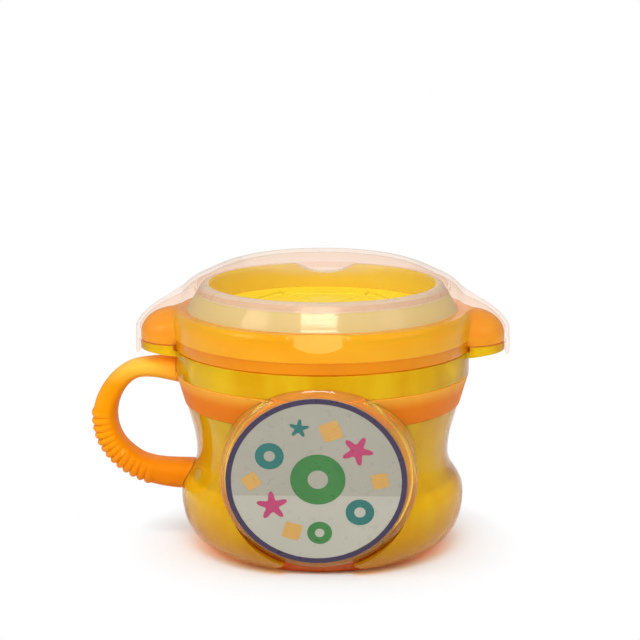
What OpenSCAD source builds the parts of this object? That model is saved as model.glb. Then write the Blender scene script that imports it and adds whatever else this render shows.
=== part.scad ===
// Toddler snack container: a cup with a handle, a twist-on lid with soft flaps, and a clear cap.
// Millimetres, +Z up. The origin is on the cup's axis, on the surface it stands on. The label faces -Y.

/* [Cup] */
// Radius of the band under the lid, which the other radii follow
band_r = 51.5; // [46:0.1:58]
// How far the flared base, where it is widest, stands in from the band
base_in = 1.6; // [0.8:0.1:2.8]
// How far the base's lower edge stands in from its widest circle
base_edge_in = 10.1; // [9.3:0.1:11]
// Height of the base's widest circle
base_z = 19.5; // [18:0.5:21]
// Height of the base's lower edge above the surface
base_lift = 1.2; // [0.8:0.1:2]
// How far the waist stands in from the band
waist_in = 7.1; // [6.3:0.1:8.1]
// Height of the waist
waist_z = 34.5; // [33:0.5:36]
// Height of the shoulder that the lid's edge stands over
seat_z = 71.7; // [71:0.1:73]
// Height of the neck above the shoulder
neck_h = 8.3; // [7.8:0.1:9]
// Wall of the cup
wall = 2; // [1.6:0.1:2.4]
// How far the inner wall's outer side at the floor stands in from the waist
floor_in = 4.8; // [4.4:0.1:5.2]
// Thickness of the floor
floor_t = 2; // [1.6:0.1:2.6]
// Width of the arch in the base, front and back, at the surface
arch_w = 32; // [28:1:36]
// Height of the arch
arch_h = 8; // [6:0.5:10]

/* [Foot] */
// How far the foot stands in from the inner wall above it
foot_in = 2.6; // [2.3:0.1:3.2]
// Height of the foot, which is the height of the cup's floor
foot_h = 12; // [11:0.1:13]
// Wall of the foot
foot_wall = 2.4; // [2:0.1:3]

/* [Handle] */
// Thickness of the collar that carries the handle
collar_t = 1.2; // [1:0.1:1.3]
// Height of the collar's lower edge above the surface
collar_z = 52.3; // [51:0.1:53]
// Width of the collar along the cup
collar_h = 10.6; // [9.6:0.1:11]
// How far the handle's middle line stands out from the band
handle_reach = 25.5; // [23:0.1:28]
// Height of the handle's outermost place
handle_mid_z = 46; // [44:0.5:48]
// Height of the middle of the handle's lower root
handle_low_z = 24.5; // [23:0.5:26]
// Thickness of the handle at its root, its thin upper bow and its grip
handle_root_t = 8.4; // [7.6:0.1:9]
handle_bow_t = 6.2; // [5:0.1:7]
handle_grip_t = 8.4; // [7.4:0.1:9.6]
// Width of the handle across
handle_w = 14; // [12:0.5:16]
// Ribs on the grip
rib_count = 13; // [8:1:16]
// Height of a rib
rib_h = 0.6; // [0.3:0.1:0.8]

/* [Label] */
// Radius of the round plate
plate_r = 33; // [32:0.1:34]
// Radius of the label
label_r = 30.3; // [28:0.1:30.4]
// Place of the label's centre across the plate
label_x = -0.7; // [-0.8:0.1:0.8]
// Thickness of the label
label_t = 0.3; // [0.2:0.1:0.5]
// How far the plate's face, at its centre, stands in from the band
plate_in = 4.4; // [4:0.1:4.8]
// Height of the plate's centre
plate_z = 34.75; // [34:0.25:36]
// How far the plate's face is turned down, in degrees
plate_tilt = 10.5; // [9.5:0.5:11]
// Wall of the plate
plate_t = 1.8; // [1.4:0.1:2.2]

/* [Lid] */
// How far the lid's skirt stands out past the band
skirt_out = 0.9; // [0.7:0.1:1.4]
// Wall of the lid
lid_wall = 1.8; // [1.6:0.1:1.9]
// Height of the skirt's lower edge above the cup's shoulder
skirt_gap = 0.3; // [0.2:0.1:0.5]
// Thickness of the sealing ring
seal_t = 1.5; // [1.2:0.1:2]
// Height from the top of the sealing ring to the ledge that the cap stands over
ledge_h = 3.5; // [3:0.1:4]
// Height of the raised rim above the ledge
rim_h = 9.2; // [8.2:0.1:9.6]
// How far the raised rim's foot stands in from the skirt
rim_foot_in = 5.2; // [4.6:0.1:5.8]
// How far the raised rim leans in from its foot to its top
rim_lean = 6.7; // [6:0.1:7.4]
// Width of the rim's top from its crest to its inner wall
rim_lip = 1.7; // [1.5:0.1:1.9]
// Width and depth of the scallop at the back of the rim
scallop_w = 22; // [18:1:26]
scallop_h = 3.6; // [3:0.1:4.2]
// How far the middle of an ear's round end stands in from the skirt
ear_in = 1.4; // [0.6:0.1:2.4]
// Radius of an ear
ear_r = 12.9; // [11.5:0.1:13.2]
// Roundness of an ear's dome, where 2 is an ellipse and more is squarer
ear_round = 2.2; // [1.8:0.1:2.6]
// How far the thumb notch goes in from the skirt at the ledge
notch_d = 3; // [2:0.1:3.2]
// Height of the thumb notch below the ledge
notch_h = 5.6; // [4:0.1:6]
// Radius of the thumb notch, seen from above
notch_r = 100; // [60:5:160]
// Number of locking lugs
lug_count = 3; // [2:1:4]
// Angle that a lug covers
lug_span = 26; // [20:1:30]
// Height of a lug
lug_h = 2; // [1.6:0.1:2.4]

/* [Flaps] */
// Number of flaps
flap_count = 6; // [5:1:8]
// Width of the ledge between the rim's inner wall and the flaps' hinge lines
flap_ledge = 11.8; // [10.5:0.1:13]
// Thickness of a flap
flap_t = 1.6; // [1.2:0.1:1.8]
// Thickness of the ring that carries the flaps
ring_t = 1.9; // [1.8:0.1:2.2]
// Thickness and height of the ring's upright lip, which holds it in the raised rim
lip_t = 0.8; // [0.7:0.1:1]
lip_h = 2.4; // [2:0.1:2.6]
// Width of the slit between two flaps
slit_w = 0.4; // [0.3:0.05:0.6]
// Radius of the hole where the flaps meet
flap_tip_r = 1.2; // [0.8:0.1:2]

/* [Cap] */
// Height of the dome's top above the lid's ledge
dome_h = 17; // [16.5:0.1:18]
// How far the dome's wall stands in from the lid's skirt
dome_in = 1.8; // [1.6:0.1:2.2]
// How far the dome's flat top stands in from its wall
dome_flat_in = 28.6; // [26:0.1:31]
// How far the dome's shoulder stands in from its wall, and below its top
shoulder_in = 6.6; // [6:0.1:7.2]
shoulder_drop = 6; // [5.4:0.1:6.6]
// Wall of the cap
cap_wall = 1.4; // [1.2:0.1:1.6]
// Height of the cap's edge above the lid's ledge
cap_gap = 0.3; // [0.2:0.1:0.5]
// Space between a tab of the cap and the ear below it
tab_gap = 0.4; // [0.3:0.1:0.6]
// Height of a tab's dome above the lid's ledge
tab_h = 5; // [4.6:0.1:6]
// Roundness of a tab's dome
tab_round = 1.4; // [1.4:0.1:2]
// Height of a tab's lower edge above the cup's shoulder
tab_z = 2.2; // [2.2:0.1:3]
// How far the lip at a tab's end hangs below that edge, and its width
tab_lip_h = 4.4; // [3:0.1:5]
tab_lip_w = 10; // [6:0.5:12]

/* [Fit] */
// Running space between pieces that turn or lift past each other
run_gap = 0.4; // [0.3:0.05:0.5]
// Space between pieces that stay together
fit_gap = 0.15; // [0.1:0.05:0.3]

/* [Hidden] */
$fn = 96;
// Steps along a curve
steps = 8;
// A length that reaches past a cut
past = 1;

// Levels, from the surface up
floor_top_z = foot_h + floor_t;
collar_top_z = collar_z + collar_h;
band_z = collar_top_z + fit_gap;
rim_z = seat_z + neck_h;
seal_top_z = rim_z + seal_t;
ledge_z = seal_top_z + ledge_h;
rim_top_z = ledge_z + rim_h;
well_z = ledge_z + 0.5;
hinge_z = well_z - ring_t / 2;
skirt_z = seat_z + skirt_gap;
dome_z = ledge_z + dome_h;
ear_z = seat_z + 1.8;

// Radii of the cup and of what stands under it
base_r = band_r - base_in;
base_edge_r = base_r - base_edge_in;
waist_r = band_r - waist_in;
floor_r = waist_r - floor_in;
foot_r = floor_r - foot_in;
recess_low_r = band_r - 4.3;
recess_top_r = band_r - collar_t - 0.1;
under_r = recess_low_r + collar_t - 0.4;
plate_y = band_r - plate_in;

// Radii of the lid, the flaps and the cap
skirt_r = band_r + skirt_out;
rim_foot_r = skirt_r - rim_foot_in;
rim_top_r = rim_foot_r - rim_lean;
well_r = rim_top_r - rim_lip;
ear_x = skirt_r - ear_in;
hinge_r = well_r - flap_ledge;
opening_r = hinge_r + flap_t / 2 + 0.3;
dome_r = skirt_r - dome_in;
shoulder_r = dome_r - shoulder_in;

// Radii of what nests
skirt_in_r = skirt_r - lid_wall - 0.6;
lug_t = 1.6;
neck_r = skirt_in_r - lug_t - 2 * run_gap;
mouth_r = neck_r - 1.6;
seal_in_r = mouth_r - 1;
web_r = seal_in_r - run_gap;

// A point along a cubic curve
function bez(a, b, c, d, t) =
    pow(1 - t, 3) * a + 3 * t * pow(1 - t, 2) * b + 3 * t * t * (1 - t) * c + t * t * t * d;
// A curve's points, without its first
function curve(a, b, c, d, n = steps) = [for (i = [1:n]) bez(a, b, c, d, i / n)];
// An outline's points, each moved out from the axis
function widen(points, g) = [for (p = points) [p.x + g, p.y]];

// The cup's outer side from its lower edge to its waist
base_curve = concat(
    [[base_edge_r, base_lift]],
    curve([base_edge_r, base_lift], [base_edge_r + 5.2, base_lift + 2.2],
          [base_r, base_z - 10.5], [base_r, base_z]),
    curve([base_r, base_z], [base_r, base_z + 7], [waist_r, waist_z - 7], [waist_r, waist_z]));
// From the waist to the collar's lower edge
waist_curve = curve([waist_r, waist_z], [waist_r, waist_z + 6.5],
                    [under_r - 1.6, collar_z - 5.8], [under_r, collar_z - fit_gap]);
// The inner wall's outer side under the flared base
inner_curve = [[floor_r - 2, foot_h], [floor_r - 0.4, foot_h + 0.6], [floor_r, foot_h + 2.2],
               [waist_r - 0.9, waist_z - 10], [waist_r, waist_z]];

// A point on the handle's middle line, for 0 to 4 along it, as [outwards from the axis, height]
low_out = base_r - 8;
top_out = band_r - 2.5;
handle_x = band_r + handle_reach;
handle_top_z = collar_z + 10.1;
handle_line = [
    [[top_out, handle_top_z], [top_out + 5.5, handle_top_z + 1],
     [handle_x - 17.8, handle_top_z + 1.6], [handle_x - 12.8, handle_top_z + 0.8]],
    [[handle_x - 12.8, handle_top_z + 0.8], [handle_x - 6, handle_top_z - 0.3],
     [handle_x, handle_mid_z + 7.5], [handle_x, handle_mid_z]],
    [[handle_x, handle_mid_z], [handle_x, handle_mid_z - 7.4],
     [handle_x - 3.4, handle_low_z + 8.6], [handle_x - 9.9, handle_low_z + 4.4]],
    [[handle_x - 9.9, handle_low_z + 4.4], [handle_x - 16, handle_low_z + 0.5],
     [low_out + 11, handle_low_z + 0.3], [low_out, handle_low_z]]];
function on_line(s) = let (k = min(floor(s), 3), c = handle_line[k])
    bez(c[0], c[1], c[2], c[3], s - k);
function unit(v) = v / norm(v);
// The direction out of the bow, square to the middle line
function out_of(s) = let (d = unit(on_line(min(s + 0.01, 4)) - on_line(max(s - 0.01, 0)))) [-d.y, d.x];
// Half the handle's thickness
thick = [handle_root_t, handle_bow_t, handle_grip_t, handle_grip_t, handle_grip_t + 2];
function half_t(s) = let (k = min(floor(s), 3), t = s - k)
    (thick[k] + (thick[k + 1] - thick[k]) * (3 * t * t - 2 * t * t * t)) / 2;
// The ribs run between these places, four rings to a rib
rib_from = 1.9;
rib_to = 3.35;
rings = concat([for (i = [0:13]) rib_from * i / 14],
               [for (i = [0:4 * rib_count - 1]) rib_from + (rib_to - rib_from) * i / (4 * rib_count)],
               [for (i = [0:5]) rib_to + (4 - rib_to) * i / 5]);
function rib(s) = s < rib_from || s > rib_to ? 0
    : rib_h * abs(sin(180 * rib_count * (s - rib_from) / (rib_to - rib_from)));
sides = 16;
// A rounded section: its two directions swell with a power below one
function soft(v) = sign(v) * pow(abs(v), 0.72);
function ring_points(s) = let (c = on_line(s), o = out_of(s), h = half_t(s)) [
    for (i = [0:sides - 1]) let (a = 360 * i / sides, u = soft(cos(a)), w = soft(sin(a)),
        lift = rib(s) * max(0, min(1, 0.6 + u)))
    [-(c.x + o.x * u * (h + lift)), w * (handle_w / 2 + lift * 0.5), c.y + o.y * u * (h + lift)]];

module spin(points) rotate_extrude() polygon(points);

// The room that the cup's side takes, from its lower edge to its band, with space g round it
module cup_room(g) spin(concat([[0, base_lift - g]], widen(base_curve, g), widen(waist_curve, g),
    [[recess_low_r + g, collar_z - fit_gap], [recess_top_r + g, band_z - g], [band_r + g, band_z - g],
     [band_r + g, seat_z], [0, seat_z]]));

// The room behind the plate: foot, inner wall, waist, collar and band
module core_room(g) spin(concat(
    [[0, -plate_r], [foot_r + g, -plate_r], [foot_r + g, foot_h - 2 * g]],
    widen([for (i = [1:len(inner_curve) - 1]) inner_curve[i]], g), widen(waist_curve, g),
    [[recess_low_r + collar_t + g, collar_z], [band_r + g, collar_top_z], [band_r + g, rim_z],
     [0, rim_z]]));

module on_plate() translate([0, -plate_y, plate_z]) rotate([90 + plate_tilt, 0, 0]) children();

// A dome over each ear, turned about the ear's own axis: radius r, straight up to low, then round to top
module ear_domes(r, bottom, low, top, roundness) for (side = [-1, 1]) translate([side * ear_x, 0, 0])
    spin(concat([[0, bottom], [r, bottom]],
        [for (i = [0:steps + 4]) let (a = 90 * i / (steps + 4))
            [r * pow(cos(a), 2 / roundness), low + (top - low) * pow(sin(a), 2 / roundness)]]));

// Lugs round the neck, as high and as wide as the numbers say
module lugs(r_in, r_out, z) intersection() {
    translate([0, 0, z]) difference() {
        cylinder(r = r_out, h = lug_h);
        translate([0, 0, -past]) cylinder(r = r_in, h = lug_h + 2 * past);
    }
    for (i = [0:lug_count - 1]) rotate([0, 0, 90 + i * 360 / lug_count])
        linear_extrude(rim_z) polygon([[0, 0], [2 * r_out, -2 * r_out * tan(lug_span / 2)],
                                       [2 * r_out, 2 * r_out * tan(lug_span / 2)]]);
}

module cup_wall() spin(concat([[0, foot_h]], inner_curve, waist_curve,
    [[recess_low_r, collar_z - fit_gap], [recess_top_r, band_z], [band_r, band_z],
     [band_r + 0.1, seat_z - 0.4], [band_r - 0.3, seat_z],
     [neck_r, seat_z], [neck_r, rim_z - 0.5], [neck_r - 0.5, rim_z], [mouth_r + 0.5, rim_z],
     [mouth_r, rim_z - 0.5], [mouth_r, collar_top_z]],
    curve([mouth_r, collar_top_z], [mouth_r, collar_z + 4], [recess_low_r - wall, collar_z + 2],
          [recess_low_r - wall - 0.4, collar_z - 2]),
    curve([recess_low_r - wall - 0.4, collar_z - 2], [recess_low_r - wall - 2.2, collar_z - 8],
          [waist_r - wall, waist_z + 8], [waist_r - wall, waist_z]),
    curve([waist_r - wall, waist_z], [waist_r - wall, waist_z - 8],
          [floor_r - wall, floor_top_z + 8], [floor_r - wall, floor_top_z + 4]),
    curve([floor_r - wall, floor_top_z + 4], [floor_r - wall, floor_top_z + 1.5],
          [floor_r - wall - 1.5, floor_top_z], [floor_r - wall - 4, floor_top_z], 4),
    [[0, floor_top_z]]));

module flared_base() difference() {
    spin(concat(base_curve, [[waist_r - wall / 2, waist_z], [waist_r - 1.1 - wall / 2, waist_z - 12]],
        curve([waist_r - 1.1, waist_z - 12], [waist_r + 0.3, waist_z - 7.3],
              [base_r - wall, base_z + 5.7], [base_r - wall, base_z]),
        curve([base_r - wall, base_z], [base_r - wall, base_z - 9.7],
              [base_edge_r + 2.9, base_lift + 4], [base_edge_r - wall + 0.1, base_lift])));
    // The arches, front and back
    translate([0, 0, arch_h - arch_round()]) rotate([90, 0, 0])
        cylinder(r = arch_round(), h = 3 * base_r, center = true);
    // The place of the round plate
    on_plate() translate([0, 0, -plate_y]) cylinder(r = plate_r + run_gap, h = 2 * plate_y);
}
// Radius of the arch's circle, from its width and height at the surface
function arch_round() = (arch_w * arch_w / 4 + arch_h * arch_h) / (2 * arch_h);

module cup_body() color([0.93, 0.72, 0.12, 0.75]) {
    cup_wall();
    flared_base();
    lugs(neck_r - 0.5, neck_r + lug_t, seat_z + lug_h + skirt_gap + 0.8);
    // The tabs under the lid's ears
    difference() {
        intersection() {
            spin([[band_r - 1.5, seat_z - 2.3], [ear_x + 5, seat_z - 1.6], [ear_x + ear_r, seat_z - 0.8],
                  [ear_x + ear_r, ear_z], [band_r - 1.5, ear_z]]);
            for (side = [-1, 1]) translate([side * ear_x, 0, 0]) cylinder(r = ear_r, h = dome_z);
        }
        translate([0, 0, seat_z]) cylinder(r = skirt_r + 0.5, h = dome_z);
    }
}

module base_foot() color([0.85, 0.42, 0.12]) spin([
    [0, 0], [foot_r - 1, 0], [foot_r, 1], [foot_r, foot_h - 0.5], [foot_r - 0.5, foot_h],
    [foot_r - foot_wall, foot_h], [foot_r - foot_wall, foot_wall + 1],
    [foot_r - foot_wall - 1, foot_wall], [0, foot_wall]]);

module handle_collar() color([0.96, 0.58, 0.09]) {
    spin([[recess_low_r + fit_gap, collar_z], [recess_low_r + collar_t - 0.3, collar_z],
          [recess_low_r + collar_t, collar_z + 0.3], [band_r, collar_top_z - 0.3],
          [band_r - 0.3, collar_top_z], [recess_top_r + fit_gap, collar_top_z]]);
    difference() {
        polyhedron(
            points = [for (s = rings) for (p = ring_points(s)) p],
            faces = concat(
                [[for (i = [0:sides - 1]) i]],
                [for (k = [0:len(rings) - 2]) for (i = [0:sides - 1]) let (j = (i + 1) % sides)
                    [k * sides + i, (k + 1) * sides + i, (k + 1) * sides + j, k * sides + j]],
                [[for (i = [sides - 1:-1:0]) (len(rings) - 1) * sides + i]]));
        cup_room(fit_gap);
    }
}

module label_plate() color([0.95, 0.75, 0.3, 0.7]) difference() {
    on_plate() spin([[0, 0], [plate_r - 1.8, 0], [plate_r, -1.4], [plate_r, -plate_y],
                     [plate_r - plate_t, -plate_y], [plate_r - plate_t, -plate_t - 0.8],
                     [plate_r - plate_t - 0.8, -plate_t], [0, -plate_t]]);
    core_room(fit_gap);
}

module front_label() color([0.8, 0.78, 0.72]) on_plate() translate([label_x, 0, 0])
    cylinder(r = label_r, h = label_t);

module lid_seal() color([0.95, 0.93, 0.88]) translate([0, 0, rim_z]) difference() {
    cylinder(r = skirt_in_r - run_gap, h = seal_t);
    translate([0, 0, -past]) cylinder(r = seal_in_r, h = seal_t + 2 * past);
}

// The lid's shoulder, from the top of its skirt to its ledge, with space g round it
function lid_shoulder(g) = curve([skirt_r + g, skirt_z + 7.5], [skirt_r + g, ledge_z - 2.4 + g],
                                 [skirt_r - 0.9 + g, ledge_z + g], [skirt_r - 2 + g, ledge_z + g]);
module lid_shell() color([0.98, 0.6, 0.2, 0.8]) difference() {
    union() {
        spin(concat([[skirt_in_r, skirt_z], [skirt_r - 0.6, skirt_z], [skirt_r - 0.6, skirt_z + 3.8],
                     [skirt_r, skirt_z + 4.4]], lid_shoulder(0),
            [[rim_foot_r + 0.8, ledge_z], [rim_foot_r, ledge_z + 0.8],
             [rim_top_r + 2.1, rim_top_z - 1.2], [rim_top_r + 1.2, rim_top_z - 0.3],
             [rim_top_r, rim_top_z], [rim_top_r - 0.8, rim_top_z - 0.3], [well_r + 0.3, rim_top_z - 1.4],
             [well_r, well_z], [well_r + lid_wall, well_z], [rim_top_r + 0.5, rim_top_z - scallop_h - 1],
             [web_r, ledge_z + 1.4], [web_r, seal_top_z], [skirt_in_r, seal_top_z]]));
        lugs(neck_r + run_gap, skirt_in_r + 0.5, skirt_z + 0.4);
        difference() {
            ear_domes(ear_r, ear_z + skirt_gap, ear_z + 1.7, ledge_z, ear_round);
            // The hollow under an ear, outside the skirt
            difference() {
                ear_domes(ear_r - lid_wall, skirt_z, ear_z + 1.7, ledge_z - lid_wall, ear_round);
                cylinder(r = skirt_r - 0.3, h = rim_top_z);
            }
            // The room inside the skirt
            translate([0, 0, skirt_z - past]) cylinder(r = skirt_in_r, h = ledge_z - 1 - skirt_z + past);
        }
    }
    // The thumb notch in the front
    translate([0, -skirt_r, ledge_z - notch_h]) rotate([-atan(notch_d / notch_h), 0, 0])
        translate([0, -notch_r, 0]) cylinder(r = notch_r, h = 6 * notch_h, center = true);
    // The scallop in the back of the raised rim
    translate([0, well_r, rim_top_z - scallop_h + scallop_round()]) rotate([90, 0, 0])
        cylinder(r = scallop_round(), h = well_r, center = true);
}
function scallop_round() = (scallop_w * scallop_w / 4 + scallop_h * scallop_h) / (2 * scallop_h);

lip_r = well_r + lid_wall + 4 * fit_gap;
module flap_ring() color([0.98, 0.84, 0.35]) difference() {
    spin([[0, well_z - ring_t], [web_r - fit_gap, well_z - ring_t], [web_r - fit_gap, well_z],
          [lip_r + lip_t, well_z], [lip_r + lip_t, well_z + lip_h], [lip_r, well_z + lip_h],
          [well_r + lid_wall + fit_gap, well_z], [0, well_z]]);
    translate([0, 0, well_z - ring_t - past]) linear_extrude(ring_t + 2 * past)
        polygon([for (i = [0:flap_count - 1]) let (a = flap_angle(i) + 180 / flap_count)
            opening_r / cos(180 / flap_count) * [cos(a), sin(a)]]);
}
// Direction of a flap's hinge line from the axis
function flap_angle(i) = 90 + i * 360 / flap_count;

// A petal with a round root on its hinge line
module flap(i) color([0.98, 0.82, 0.3]) rotate([0, 0, flap_angle(i)]) {
    slope = tan(180 / flap_count);
    inset = slit_w / 2 / cos(180 / flap_count);
    tip_y = flap_tip_r * slope - inset;
    root_x = hinge_r - flap_t / 2;
    root_y = root_x * slope - inset;
    translate([0, 0, hinge_z - flap_t / 2]) linear_extrude(flap_t)
        polygon([[flap_tip_r, -tip_y], [root_x, -root_y], [hinge_r, -root_y],
                 [hinge_r, root_y], [root_x, root_y], [flap_tip_r, tip_y]]);
    translate([hinge_r, 0, hinge_z]) rotate([90, 0, 0])
        cylinder(r = flap_t / 2, h = 2 * root_y, center = true);
}
module flap_1() flap(0);
module flap_2() flap(1);
module flap_3() flap(2);
module flap_4() flap(3);
module flap_5() flap(4);
module flap_6() flap(5);

// The dome's outline, drawn in by t, from its top to its edge
function dome_line(t) = let (
        flat_end = [dome_r - dome_flat_in, dome_z - t],
        shoulder = [shoulder_r - t / 2, dome_z - shoulder_drop - t])
    concat([[0, dome_z - t], flat_end],
        curve(flat_end, [(flat_end.x + shoulder_r) / 2, flat_end.y],
              shoulder + shoulder_drop * [-1, 7 / 15], shoulder),
        curve(shoulder, shoulder + shoulder_in * [15 / 22, -7 / 22],
              [dome_r - t, dome_z - dome_h + 6], [dome_r - t, dome_z - dome_h + 1.5]));
tab_r = ear_r + tab_gap + cap_wall;
tab_top_z = ledge_z + tab_h;

module stay_fresh_cap() color([0.97, 0.88, 0.82, 0.3]) {
    difference() {
        union() {
            spin(concat(dome_line(0), [[dome_r, ledge_z + cap_gap], [0, ledge_z + cap_gap]]));
            ear_domes(tab_r, seat_z + tab_z, skirt_z + 6.5, tab_top_z, tab_round);
        }
        spin(concat(dome_line(cap_wall), [[dome_r - cap_wall, ledge_z - past], [0, ledge_z - past]]));
        ear_domes(tab_r - cap_wall, seat_z, skirt_z + 6.5, tab_top_z - cap_wall, tab_round);
        // The lid's side under the tabs
        spin(concat([[0, seat_z], [skirt_r + tab_gap, seat_z]], lid_shoulder(tab_gap),
                    [[0, ledge_z + tab_gap]]));
    }
    // The lips at the tabs' ends, which pass outside the cup's tabs
    for (side = [-1, 1]) difference() {
        translate([side * ear_x, 0, seat_z + tab_z - tab_lip_h]) cylinder(r = tab_r, h = tab_lip_h + past);
        cylinder(r = ear_x + ear_r + run_gap, h = dome_z);
        for (end = [-1, 1]) translate([-dome_z, end > 0 ? tab_lip_w / 2 : -tab_lip_w / 2 - dome_z, 0])
            cube([2 * dome_z, dome_z, dome_z]);
    }
    // The ring that closes round the raised rim
    spin([[rim_foot_r - 3.4, rim_top_z - 2.3], [rim_foot_r - 2.3, rim_top_z - 2.3],
          [rim_foot_r - 2.2, dome_z - 6.2 - cap_wall / 2], [rim_foot_r - 3.4, dome_z - 5.6 - cap_wall / 2]]);
}

cup_body();
base_foot();
handle_collar();
label_plate();
front_label();
lid_seal();
lid_shell();
flap_ring();
flap_1();
flap_2();
flap_3();
flap_4();
flap_5();
flap_6();
stay_fresh_cap();
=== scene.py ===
import math
import bmesh
import bpy
from mathutils import Matrix, Vector


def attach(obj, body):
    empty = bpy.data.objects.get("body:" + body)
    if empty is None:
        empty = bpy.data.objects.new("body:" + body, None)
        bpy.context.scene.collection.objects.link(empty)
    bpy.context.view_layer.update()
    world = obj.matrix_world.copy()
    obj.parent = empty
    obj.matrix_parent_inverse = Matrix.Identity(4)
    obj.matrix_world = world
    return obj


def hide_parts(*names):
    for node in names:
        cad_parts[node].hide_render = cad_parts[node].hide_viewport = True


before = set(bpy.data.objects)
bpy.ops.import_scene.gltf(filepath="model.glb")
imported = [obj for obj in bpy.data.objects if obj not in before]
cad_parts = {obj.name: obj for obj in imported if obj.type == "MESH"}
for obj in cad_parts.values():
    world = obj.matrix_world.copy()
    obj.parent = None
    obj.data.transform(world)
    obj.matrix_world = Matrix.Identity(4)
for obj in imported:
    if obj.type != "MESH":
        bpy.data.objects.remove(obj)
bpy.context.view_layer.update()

mm = 0.001

# Outlines are lists of points (distance from the axis, height), in millimetres


def bez(a, b, c, d, count=16):
    points = []
    for i in range(1, count + 1):
        t = i / count
        w = ((1 - t) ** 3, 3 * t * (1 - t) ** 2, 3 * t * t * (1 - t), t ** 3)
        points.append(tuple(sum(k * p[n] for k, p in zip(w, (a, b, c, d))) for n in (0, 1)))
    return points


# Rounds each corner of a closed outline by up to the radius
def rounded(points, radius, steps=4):
    out = []
    for i, p in enumerate(points):
        p = Vector(p)
        toLast = Vector(points[i - 1]) - p
        toNext = Vector(points[(i + 1) % len(points)]) - p
        turn = math.pi - toLast.angle(toNext, 0)
        if p.x < 1e-6 or turn < math.radians(20):
            out.append(tuple(p))
            continue
        reach = min(radius, toLast.length * 0.45, toNext.length * 0.45)
        start, end = p + toLast.normalized() * reach, p + toNext.normalized() * reach
        for k in range(steps + 1):
            t = k / steps
            out.append(tuple(start * (1 - t) ** 2 + p * 2 * t * (1 - t) + end * t * t))
    return out


def widened(points, space):
    return [(r + space, z) for r, z in points]


# Meshes


def newObject(name, verts, faces):
    mesh = bpy.data.meshes.new(name)
    mesh.from_pydata([Vector(v) * mm for v in verts], [], faces)
    piece = bpy.data.objects.new(name, mesh)
    bpy.context.collection.objects.link(piece)
    return piece


# Joins close points, turns the faces outwards, and shades smoothly except over sharp edges
def tidyMesh(piece, sharp=34):
    bm = bmesh.new()
    bm.from_mesh(piece.data)
    bmesh.ops.remove_doubles(bm, verts=bm.verts, dist=0.004 * mm)
    bmesh.ops.dissolve_degenerate(bm, edges=bm.edges, dist=0.004 * mm)
    bmesh.ops.recalc_face_normals(bm, faces=bm.faces)
    for face in bm.faces:
        face.smooth = True
    for edge in bm.edges:
        edge.smooth = len(edge.link_faces) != 2 or edge.calc_face_angle(0) < math.radians(sharp)
    bm.to_mesh(piece.data)
    bm.free()
    return piece


# A closed outline carried round the axis; outlineAt gives it for each angle
def spun(name, turns, outlineAt, centre=(0, 0)):
    verts, faces = [], []
    for turn in turns:
        outline = outlineAt(turn)
        verts += [(centre[0] + r * math.cos(turn), centre[1] + r * math.sin(turn), z) for r, z in outline]
    n = len(outline)
    for k in range(len(turns)):
        a, b = k * n, (k + 1) % len(turns) * n
        for i in range(n):
            j = (i + 1) % n
            corners = (a + i, b + i, b + j, a + j)
            if verts[a + i][:2] != verts[b + i][:2] or verts[a + j][:2] != verts[b + j][:2]:
                faces.append(corners)
    return tidyMesh(newObject(name, verts, faces))


def lathe(name, outline, turns=160, centre=(0, 0)):
    angles = [2 * math.pi * k / turns for k in range(turns)]
    outline = [(max(r, 0), z) for r, z in outline]
    return spun(name, angles, lambda turn: outline, centre)


# A boolean with another object, which is used up
def combine(piece, other, operation):
    modifier = piece.modifiers.new("cut", "BOOLEAN")
    modifier.operation = operation
    modifier.object = other
    modifier.solver = "EXACT"
    bpy.context.view_layer.update()
    baked = bpy.data.meshes.new_from_object(piece.evaluated_get(bpy.context.evaluated_depsgraph_get()))
    piece.modifiers.clear()
    piece.data = baked
    bpy.data.objects.remove(other)
    return piece


# A prism from a list of corners in X and Y, between two heights
def prism(name, corners, low, high):
    n = len(corners)
    verts = [(x, y, z) for z in (low, high) for x, y in corners]
    faces = [tuple(range(n - 1, -1, -1)), tuple(range(n, 2 * n))]
    faces += [(i, (i + 1) % n, n + (i + 1) % n, n + i) for i in range(n)]
    return newObject(name, verts, faces)


# A round bar along Y
def barAlongY(name, radius, middle, length, turns=128):
    ring = [(radius * math.cos(2 * math.pi * k / turns), radius * math.sin(2 * math.pi * k / turns))
            for k in range(turns)]
    piece = prism(name, ring, -length / 2, length / 2)
    place(piece, Matrix.Translation(Vector(middle) * mm) @ Matrix.Rotation(math.pi / 2, 4, "X"))
    return tidyMesh(piece)


def place(piece, matrix):
    piece.data.transform(matrix)
    return piece


def wedge(name, middle, span, length, low, high):
    edge = [(0, 0)] + [(length * math.cos(middle + s * span / 2), length * math.sin(middle + s * span / 2))
                       for s in (-1, -0.5, 0, 0.5, 1)]
    return prism(name, edge, low, high)


def finish(piece, body, slot, materials, *nodes):
    for material in materials:
        piece.data.materials.append(material)
    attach(piece, body)
    if nodes:
        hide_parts(*nodes)
    return piece


# Materials


# A colour as a picture shows it, turned into the values that shaders take
def seen(red, green, blue):
    def plain(v):
        v /= 255
        return v / 12.92 if v <= 0.04045 else ((v + 0.055) / 1.055) ** 2.4
    return plain(red), plain(green), plain(blue), 1


def newFinish(name):
    material = bpy.data.materials.new(name)
    material.use_nodes = True
    return material, material.node_tree.nodes["Principled BSDF"]


def addNode(material, kind, **values):
    node = material.node_tree.nodes.new(kind)
    for key, value in values.items():
        if hasattr(node, key):
            setattr(node, key, value)
        else:
            node.inputs[key.replace("_", " ")].default_value = value
    return node


def join(material, start, end):
    material.node_tree.links.new(start, end)


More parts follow.
